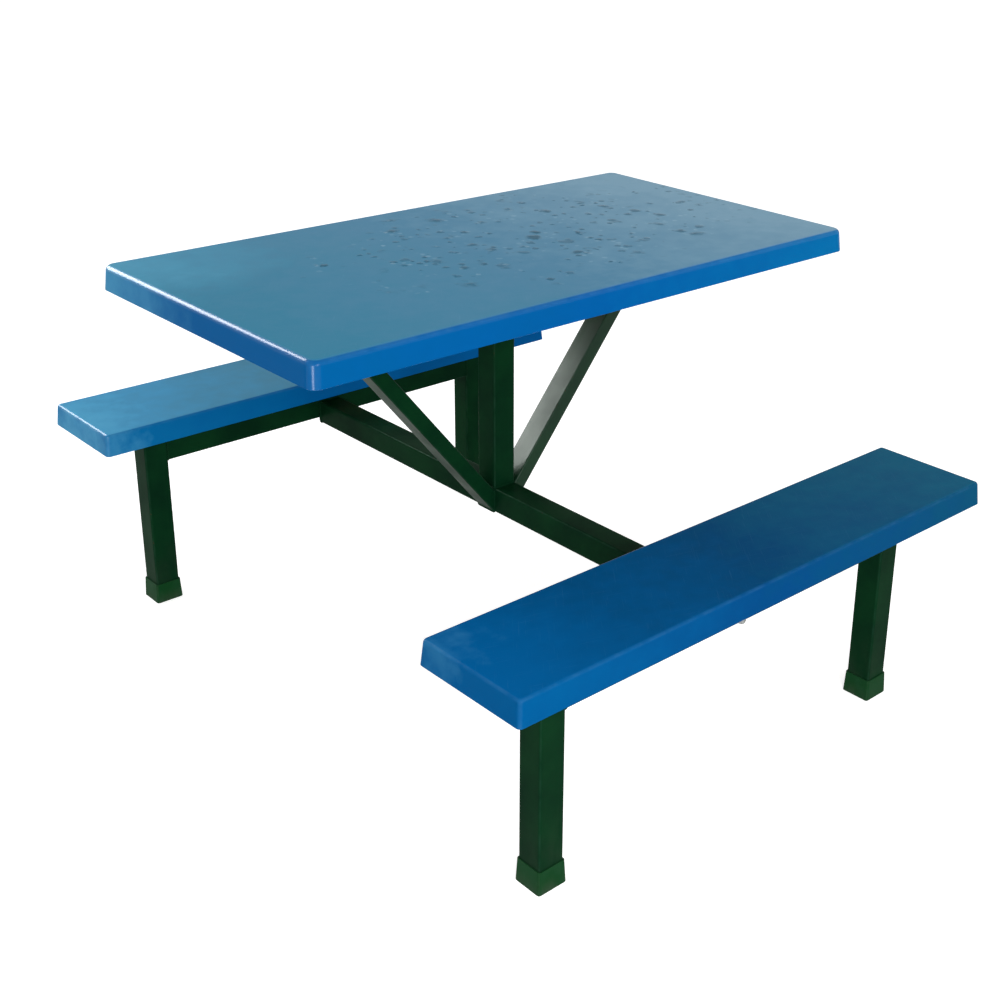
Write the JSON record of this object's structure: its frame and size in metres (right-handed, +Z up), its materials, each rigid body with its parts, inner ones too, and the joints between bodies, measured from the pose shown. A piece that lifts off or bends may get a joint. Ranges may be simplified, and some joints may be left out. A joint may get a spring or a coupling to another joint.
{
  "type": "canteen table with benches",
  "caption": "Canteen table with attached benches: moulded glass-fibre top and seats on a steel square-tube frame with a braced centre column.",
  "frame": {"origin": "on the floor, under the middle of the table", "axes": "+X along the table, +Y across it from the front bench to the back bench, +Z up"},
  "size_m": [1.1674, 1.3834, 0.792],
  "materials": {
    "blue_gelcoat": "glossy moulded gelcoat over glass-fibre laminate, faintly rippled, scuffed and water-spotted",
    "green_paint": "dark green semi-gloss paint over welded steel, worn at the edges",
    "foot_plastic": "satin moulded plastic in a slightly lighter green",
    "plywood": "unsealed plywood with visible edge plies",
    "zinc_plate": "zinc-plated steel, slightly dulled"
  },
  "bodies": {
    "root": {"back_left_foot": "foot_plastic", "back_left_leg": "green_paint", "back_left_seat_plate": "green_paint", "back_middle_post": "green_paint", "back_middle_seat_plate": "green_paint", "back_rail": "green_paint", "back_right_foot": "foot_plastic", "back_right_leg": "green_paint", "back_right_seat_plate": "green_paint", "back_seat_bolts": "zinc_plate", "back_seat_core": "plywood", "back_seat_inserts": "zinc_plate", "back_seat_shell": "blue_gelcoat", "back_seat_washers": "zinc_plate", "beam_bolts": "zinc_plate", "beam_nuts": "zinc_plate", "beam_plate_back": "green_paint", "beam_plate_front": "green_paint", "beam_washers": "zinc_plate", "brace_left": "green_paint", "brace_right": "green_paint", "column": "green_paint", "cross_beam": "green_paint", "front_left_foot": "foot_plastic", "front_left_leg": "green_paint", "front_left_seat_plate": "green_paint", "front_middle_post": "green_paint", "front_middle_seat_plate": "green_paint", "front_rail": "green_paint", "front_right_foot": "foot_plastic", "front_right_leg": "green_paint", "front_right_seat_plate": "green_paint", "front_seat_bolts": "zinc_plate", "front_seat_core": "plywood", "front_seat_inserts": "zinc_plate", "front_seat_shell": "blue_gelcoat", "front_seat_washers": "zinc_plate", "table_bearer_left": "green_paint", "table_bearer_right": "green_paint", "table_spine": "green_paint", "tabletop_bolts": "zinc_plate", "tabletop_core": "plywood", "tabletop_inserts": "zinc_plate", "tabletop_shell": "blue_gelcoat", "tabletop_washers": "zinc_plate"}
  },
  "joints": []
}
